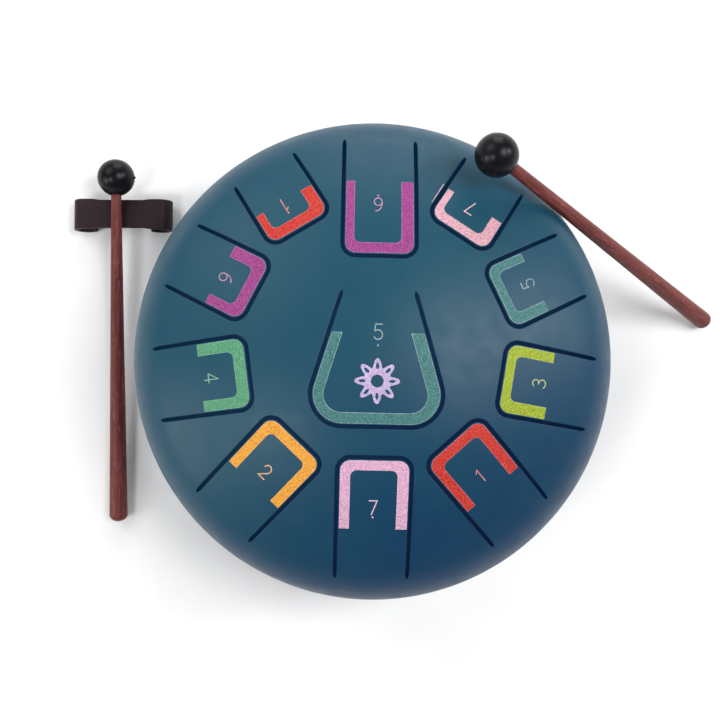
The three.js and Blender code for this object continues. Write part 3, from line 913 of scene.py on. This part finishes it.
def rosette():
    """A plain eight-petalled emblem with a round eye and a seed hole in each petal."""
    centre = np.array((0, EMBLEM_Y))
    eye_radius, seed_away = EMBLEM_RADIUS * 0.28, EMBLEM_RADIUS * 0.66
    seed_long, seed_short = EMBLEM_RADIUS * 0.15, EMBLEM_RADIUS * 0.07

    def flat(points):
        plan = np.array(points) + centre
        return np.column_stack([TOP.flat(plan), np.ones(len(plan))])

    def petal(turn):
        reach = EMBLEM_RADIUS * (0.8 + 0.2 * math.cos(PETALS * turn))
        return reach * math.cos(turn), reach * math.sin(turn)

    def seed(turn):
        way = np.array((math.cos(turn), math.sin(turn)))
        across = np.array((-way[1], way[0]))
        along = [way * (seed_away + seed_long * math.cos(t)) for t in round_turn(16)]
        return [a + across * seed_short * math.sin(t) for a, t in zip(along, round_turn(16))]

    outline = flat([petal(t) for t in round_turn(PETALS * 18)])
    eye = flat([(eye_radius * math.cos(t), eye_radius * math.sin(t)) for t in round_turn(32)])
    seeds = [flat(seed(turn)) for turn in round_turn(PETALS)]
    obj = film("rosette", [outline], [eye, *seeds], INK_LOOK["emblem"], CUT_LOOK["emblem"], 1.6)
    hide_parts("centre_emblem")
    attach(obj, "low_5_tongue")


def bottom_dish():
    """The lower shell, with a rolled edge round its sound hole."""
    hole_run = float(BOTTOM.run_at(np.array(SOUND_HOLE + HOLE_LIP)))
    runs = np.linspace(hole_run, BOTTOM.full_run, 46)
    r_out, z_out, _ = BOTTOM.profile(runs)
    r_in, z_in, _ = BOTTOM.profile(runs, SHEET)
    lip_r, lip_z = (r_out[0] + r_in[0]) / 2, (z_out[0] + z_in[0]) / 2
    bends = [i / 8 * math.pi for i in range(1, 8)]
    roll = SHEET / 2
    lip = [(lip_r - roll * math.sin(a), lip_z + roll * math.cos(a)) for a in bends]
    profile = [*zip(r_in[::-1], z_in[::-1]), *lip, *zip(r_out, z_out)]
    obj = turned("bottom_dish", profile, round_turn(200), [PAINT_LOOK], closed=True)
    face_outwards(obj)
    sharpen(obj, 50)
    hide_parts("bottom_shell")
    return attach(obj, "drum")


def weld_bead():
    """The painted weld that joins the two shells, laid down as overlapping ripples."""
    centre = DRUM_RADIUS - BEAD_SUNK
    profile = [
        (centre + BEAD_REACH * math.cos(a), SEAM_Z + BEAD_HALF_HEIGHT * math.sin(a))
        for a in round_turn(14)
    ]

    def ripple(radius, z, angle):
        phase = (angle / TAU * BEAD_RIPPLES) % 1
        swell = 1 - 0.35 * phase**2
        return centre + (radius - centre) * swell, SEAM_Z + (z - SEAM_Z) * (0.82 + 0.18 * swell)

    turns = round_turn(BEAD_RIPPLES * 5)
    obj = turned("weld_bead", profile, turns, [PAINT_LOOK], closed=True, shape=ripple)
    face_outwards(obj)
    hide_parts("rim_weld")
    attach(obj, "drum")


def foot_profile(name):
    """A foot before it is cut to the shell: dished sole, round edge, and a waist on its flank."""
    radius = (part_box(name)[1].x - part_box(name)[0].x) / 2 / MM
    tread = radius - 1.8
    sole = [(0, 0.7), (radius * 0.45, 0.65), (radius * 0.6, 0.15), (radius * 0.68, 0), (tread, 0)]
    bends = [i / 6 * math.pi / 2 for i in range(1, 7)]
    edge = [
        (tread + SOLE_ROUND * math.sin(a), SOLE_ROUND - SOLE_ROUND * math.cos(a)) for a in bends
    ]
    flank = [(radius - 0.35, 4.2), (radius - 0.7, 6.0), (radius - 0.75, 9)]
    top = [(radius - 1.2, FOOT_BLANK), (radius * 0.5, FOOT_BLANK), (0, FOOT_BLANK)]
    return [*sole, *edge, *flank, *top]


def rubber_foot(name, azimuth):
    """A glued rubber foot with a dished sole, its top shaped to the shell above it."""
    turn = math.radians(azimuth)
    place = np.array((FOOT_CIRCLE * math.sin(turn), FOOT_CIRCLE * math.cos(turn)))
    obj = turned(f"rubber_{name}", foot_profile(name), round_turn(56), [RUBBER_LOOK])
    shift = place * MM
    for vertex in obj.data.vertices:
        vertex.co.x += shift[0]
        vertex.co.y += shift[1]
        plan = np.array(vertex.co.xy) / MM - np.array(DRUM_AXIS)
        run = BOTTOM.run_at(np.array([np.hypot(*plan)]))
        belly = float(BOTTOM.profile(run)[1][0]) * MM
        vertex.co.z = min(vertex.co.z, belly + FOOT_BITE * MM)
    face_outwards(obj)
    sharpen(obj, 40)
    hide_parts(name)
    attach(obj, "drum")


# ---- Mallets ----


def mallet_frame(name):
    """A mallet's place: its head's centre, with Z up the stick and X towards the head's nub."""
    stick = node_points(f"{name}_stick")
    centre = stick.mean(0)
    axis = np.linalg.svd(stick - centre)[2][0]
    along = (stick - centre) @ axis
    thickness = np.linalg.norm(stick - centre - along[:, None] * axis, axis=1)
    if thickness[along > 0].mean() > thickness[along < 0].mean():
        axis, along = -axis, -along
    head = centre + axis * (along.min() + MALLET_LENGTH)
    ball = node_points(f"{name}_head")
    nub = ball[np.argmax(np.linalg.norm(ball - head, axis=1))] - head
    nub = unit(nub - axis * (nub @ axis))
    side = np.cross(axis, nub)
    place = Matrix([(*row, at * MM) for row, at in zip(np.column_stack([nub, side, axis]), head)])
    place.resize_4x4()
    return place


def stick_profile():
    """From the socket end down to the rounded butt, as (radius, z)."""
    top = STICK_SOCKET - 0.4
    points = [(0, top), (STICK_HEAD_RADIUS - 0.3, top), (STICK_HEAD_RADIUS, top - 0.3)]
    neck = -HEAD_RADIUS - 1
    for i in range(49):
        share = i / 48
        z = neck + (STICK_CAP - MALLET_LENGTH - neck) * share
        radius = STICK_HEAD_RADIUS + (STICK_BUTT_RADIUS - STICK_HEAD_RADIUS) * share
        points.append((radius, z))
    for i in range(1, 13):
        angle = i / 12 * math.pi / 2
        radius = max(STICK_BUTT_RADIUS * math.cos(angle), 0)
        points.append((radius, -MALLET_LENGTH + STICK_CAP * (1 - math.sin(angle))))
    return points


def ball_profile():
    """From the nub's tip round to the far pole, about the nub's own axis."""
    points = [
        (0, HEAD_RADIUS + NUB_HEIGHT),
        (NUB_RADIUS * 0.28, HEAD_RADIUS + NUB_HEIGHT - 0.12),
        (NUB_RADIUS * 0.6, HEAD_RADIUS + NUB_HEIGHT * 0.45),
        (NUB_RADIUS, HEAD_RADIUS + 0.05),
    ]
    for i in range(1, 49):
        angle = NUB_ANGLE + (math.pi - NUB_ANGLE) * i / 48
        points.append((HEAD_RADIUS * math.sin(angle), HEAD_RADIUS * math.cos(angle)))
    points[-1] = (0, -HEAD_RADIUS)
    return points


def seam_turns():
    """Turns round the nub's axis, closer together at the mould's parting line."""
    apart = (-2.4, -1.2, -0.5, 0.5, 1.2, 2.4)
    close = [math.radians(side + step) for side in (0, 180) for step in apart]
    return sorted({round(turn % TAU, 6) for turn in round_turn(72) + close})


def seam_ridge(radius, z, turn):
    """A low ridge where the two halves of the mould met."""
    off = abs(math.sin(turn)) * HEAD_RADIUS
    lift = 1 + SEAM_HEIGHT / HEAD_RADIUS * math.exp(-((off / SEAM_WIDTH) ** 2))
    return radius * lift, z * (lift if radius > NUB_RADIUS else 1)


def apply_modifiers(obj):
    """Puts the object's modified mesh in place of its mesh."""
    graph = bpy.context.evaluated_depsgraph_get()
    mesh = bpy.data.meshes.new_from_object(obj.evaluated_get(graph))
    obj.modifiers.clear()
    obj.data = mesh


def cut_socket(ball, place):
    """Cuts the stick's socket into a ball, with a chamfered mouth."""
    bore = STICK_HEAD_RADIUS + SOCKET_ROOM
    mouth = -math.sqrt(HEAD_RADIUS**2 - bore**2)
    wide, outside = bore + SOCKET_CHAMFER, -HEAD_RADIUS - 2
    profile = [(0, STICK_SOCKET), (bore, STICK_SOCKET), (bore, mouth + 0.5), (wide, mouth - 0.3)]
    profile += [(wide, outside), (0, outside)]
    cutter = turned("socket_cutter", profile, round_turn(48), [], at=place)
    face_outwards(cutter)
    cut = ball.modifiers.new("socket", "BOOLEAN")
    cut.object = cutter
    cut.operation = "DIFFERENCE"
    cut.solver = "EXACT"
    bpy.context.view_layer.update()
    apply_modifiers(ball)
    bpy.data.objects.remove(cutter)


def mallet(name):
    """A tapered wooden stick in a rubber ball."""
    place = mallet_frame(name)
    wood = wood_look(f"stained_wood_{name}", place)
    stick = turned(f"{name}_wood", stick_profile(), round_turn(48), [wood], at=place)
    face_outwards(stick)
    sharpen(stick, 40)
    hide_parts(f"{name}_stick")
    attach(stick, name)
    nub_up = place @ Matrix.Rotation(math.pi / 2, 4, "Y")
    look = [RUBBER_LOOK]
    ball = turned(f"{name}_ball", ball_profile(), seam_turns(), look, at=nub_up, shape=seam_ridge)
    face_outwards(ball)
    cut_socket(ball, place)
    sharpen(ball, 40)
    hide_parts(f"{name}_head")
    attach(ball, name)


# ---- The holder ----


def holder_section():
    """The holder's end view as x, z points: a plate whose ends curl under into open clips."""
    centre = HOLDER_LENGTH / 2 - CLIP_RADIUS
    lip = CLIP_WALL / 2
    lip_r = CLIP_RADIUS - lip
    mouth = math.radians(CLIP_MOUTH)
    end_x, end_z = centre + lip_r * math.cos(mouth), CLIP_RADIUS + lip_r * math.sin(mouth)
    outer = arc(centre, CLIP_RADIUS, CLIP_RADIUS, CLIP_RADIUS, 90, CLIP_MOUTH, 44)
    tip = arc(end_x, end_z, lip, lip, CLIP_MOUTH, CLIP_MOUTH - 180, 6)[1:-1]
    inner_r = CLIP_RADIUS - CLIP_WALL
    inner = arc(centre, CLIP_RADIUS, inner_r, inner_r, CLIP_MOUTH, 90, 36)
    right = outer + tip + inner
    upper = [(x, 2 * CLIP_RADIUS) for x in steps(-centre, centre, 3)[1:]]
    under = [(x, 2 * CLIP_RADIUS - CLIP_WALL) for x in steps(centre, -centre, 3)[1:]]
    left = [(-x, z) for x, z in right[::-1]]
    return np.array(upper + right + under + left)


def holder_layers(section):
    """The section at each depth from front to back, drawn in where the edges are rounded."""
    inward = edge_normals(section)
    bends = [i / 4 * math.pi / 2 for i in range(5)]
    edge = [(HOLDER_ROUND * (1 - math.sin(a)), HOLDER_ROUND * (1 - math.cos(a))) for a in bends]
    barrel = smooth_step(np.abs(section[:, 0]), PLATE_NARROW_TO, BARREL_FROM)
    half = HOLDER_DEPTH / 2 - PLATE_NARROW * (1 - barrel)
    layers = []
    for side, cuts in ((-1, edge), (1, edge[::-1])):
        for inset, back in cuts:
            plan = section + inward * inset
            layers.append(np.column_stack([plan[:, 0], side * (half - back), plan[:, 1]]))
    return layers


def loft_faces(layers):
    """Quads between like layers of points, and triangles over the first and the last."""
    count = len(layers[0])
    ring = list(range(count))
    faces = []
    for k in range(len(layers) - 1):
        for i in ring:
            j = (i + 1) % count
            faces.append((k * count + i, k * count + j, (k + 1) * count + j, (k + 1) * count + i))
    cap = [Vector((x, z)) for x, _, z in layers[0]]
    _, _, triangles, origin, _, owners = delaunay_2d_cdt(cap, [], [ring], 0, 1e-6)
    for triangle, own in zip(triangles, owners):
        if own:
            first = [origin[i][0] for i in triangle]
            faces.append(first)
            faces.append([i + (len(layers) - 1) * count for i in reversed(first)])
    return faces


def clip_holder():
    """The mallet holder: rounded edges, and barrels a little wider than the plate between them."""
    layers = holder_layers(counter_clockwise(holder_section()))
    faces = loft_faces(layers)
    place = Matrix.Translation((*(middle("mallet_holder").xy * MM), 0))
    place = place @ Matrix.Rotation(math.radians(HOLDER_TURN), 4, "Z")
    obj = make_object("clip_holder", np.vstack(layers), faces, [PLASTIC_LOOK], at=place)
    face_outwards(obj)
    sharpen(obj, 40)
    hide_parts("mallet_holder")
    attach(obj, "holder")


# ---- The studio ----

# Metres, watts and linear light from here on, unless a value is multiplied by MM.
FLOOR_HALF, FLOOR_DROP = 1.5, 0.0003
AIM = (0, 0, 0.05)
# Each square softbox: its place, its size and its power.
SOFTBOXES = {
    "key_rear_left": ((-1.0, 0.9, 1.2), 1.0, 9.2),
    "over_right": ((0.75, 0.15, 1.5), 0.7, 14.8),
    "rear": ((0.1, 1.6, 0.6), 1.0, 11),
    "side_left": ((-1.45, -0.55, 0.8), 0.6, 7.5),
    "side_right": ((1.3, 0.36, 1.0), 0.4, 8.5),
    "front_left": ((-0.7, -0.5, 1.25), 0.35, 5.2),
}
INSIDE_ABOVE_SEAM, INSIDE_SIZE, INSIDE_POWER, INSIDE_COLOUR = 25, 0.21, 0.12, (0.35, 0.55, 1.0)
# The room's brightness at sines of height above the horizon, and how much bluer than grey it is.
WORLD_STOPS, WORLD_BLUE = ((0.0, 0.95), (0.14, 0.65), (0.35, 0.14), (0.8, 0.1)), 1.03
SENSOR_WIDTH, LENS = 36.0, 45.6135
# The camera's place from the drum's axis and the table, in millimetres, and its turns in radians.
CAMERA_OFFSET, CAMERA_HEIGHT = (-17.87, -20.31), 560.0
CAMERA_ROLL, CAMERA_TIP, CAMERA_LEAN = -0.02222, -0.04076, 0.02192


def floor():
    """A plain square floor a hair below the feet."""
    size = FLOOR_HALF
    corners = [(-size, -size, 0), (size, -size, 0), (size, size, 0), (-size, size, 0)]
    at = Matrix.Translation((0, 0, -FLOOR_DROP))
    obj = make_object("floor", np.array(corners) / MM, [(0, 1, 2, 3)], [floor_look()], at=at)


def area_light(name, shape, size, power):
    """An area light linked into the scene, facing down from the origin."""
    light = bpy.data.lights.new(name, "AREA")
    light.shape = shape
    light.size = size
    light.energy = power
    obj = bpy.data.objects.new(name, light)
    bpy.context.scene.collection.objects.link(obj)
    return obj


def softbox(name, place, size, power):
    """A square studio light pointed at the set."""
    obj = area_light(name, "SQUARE", size, power)
    obj.location = place
    obj.rotation_euler = (Vector(AIM) - Vector(place)).to_track_quat("-Z", "Y").to_euler()


def inner_light(floor_of_drum):
    """A dim downward lamp in the drum that lights only its lower inside, seen through the slits."""
    obj = area_light("inside_fill", "DISK", INSIDE_SIZE, INSIDE_POWER)
    obj.data.color = INSIDE_COLOUR
    obj.location = (DRUM_AXIS.x * MM, DRUM_AXIS.y * MM, (SEAM_Z + INSIDE_ABOVE_SEAM) * MM)
    obj.visible_camera = False
    obj.visible_glossy = False
    lit = bpy.data.collections.new("lit_by_inside_fill")
    lit.objects.link(floor_of_drum)
    obj.light_linking.receiver_collection = lit


def studio_world():
    """A soft room: pale walls that fall off to a dimmer ceiling."""
    world = bpy.data.worlds.new("soft_room")
    world.use_nodes = True
    nodes, links = world.node_tree.nodes, world.node_tree.links
    place = nodes.new("ShaderNodeTexCoord").outputs["Generated"]
    apart = nodes.new("ShaderNodeSeparateXYZ")
    links.new(place, apart.inputs[0])
    ramp = nodes.new("ShaderNodeValToRGB")
    set_ramp(ramp, [(height, (light, light, light * WORLD_BLUE)) for height, light in WORLD_STOPS])
    links.new(apart.outputs["Z"], ramp.inputs["Fac"])
    links.new(ramp.outputs["Color"], nodes["Background"].inputs["Color"])
    nodes["Background"].inputs["Strength"].default_value = 1.0
    bpy.context.scene.world = world


def camera():
    """Straight above the set, a little off the drum's axis, and turned as the view is."""
    data = bpy.data.cameras.new("camera")
    data.sensor_width = SENSOR_WIDTH
    data.lens = LENS
    data.clip_start = 0.01
    obj = bpy.data.objects.new("camera", data)
    above = Vector((*(DRUM_AXIS + Vector(CAMERA_OFFSET)), CAMERA_HEIGHT)) * MM
    into_view = Matrix.Rotation(CAMERA_ROLL, 4, "Z")
    into_view = into_view @ Matrix.Rotation(CAMERA_TIP, 4, "X")
    into_view = into_view @ Matrix.Rotation(CAMERA_LEAN, 4, "Y")
    obj.matrix_world = Matrix.Translation(above) @ into_view.transposed()
    bpy.context.scene.collection.objects.link(obj)
    bpy.context.scene.camera = obj


def studio():
    """Floor, room light, softboxes and plain colour handling."""
    floor()
    studio_world()
    for name, (place, size, power) in SOFTBOXES.items():
        softbox(name, place, size, power)
    settings = bpy.context.scene.view_settings
    settings.view_transform = "Standard"
    settings.look = "None"
    settings.exposure = 0.0
    settings.gamma = 1.0


camera()
studio()
top_dish()
inner_light(bottom_dish())
for each in TONGUES:
    note_blade(each)
    colour_band(each)
    numeral(each)
print_slip()
rosette()
weld_bead()
for foot_name, foot_azimuth in FOOT_AZIMUTHS.items():
    rubber_foot(foot_name, foot_azimuth)
mallet("mallet_1")
mallet("mallet_2")
clip_holder()
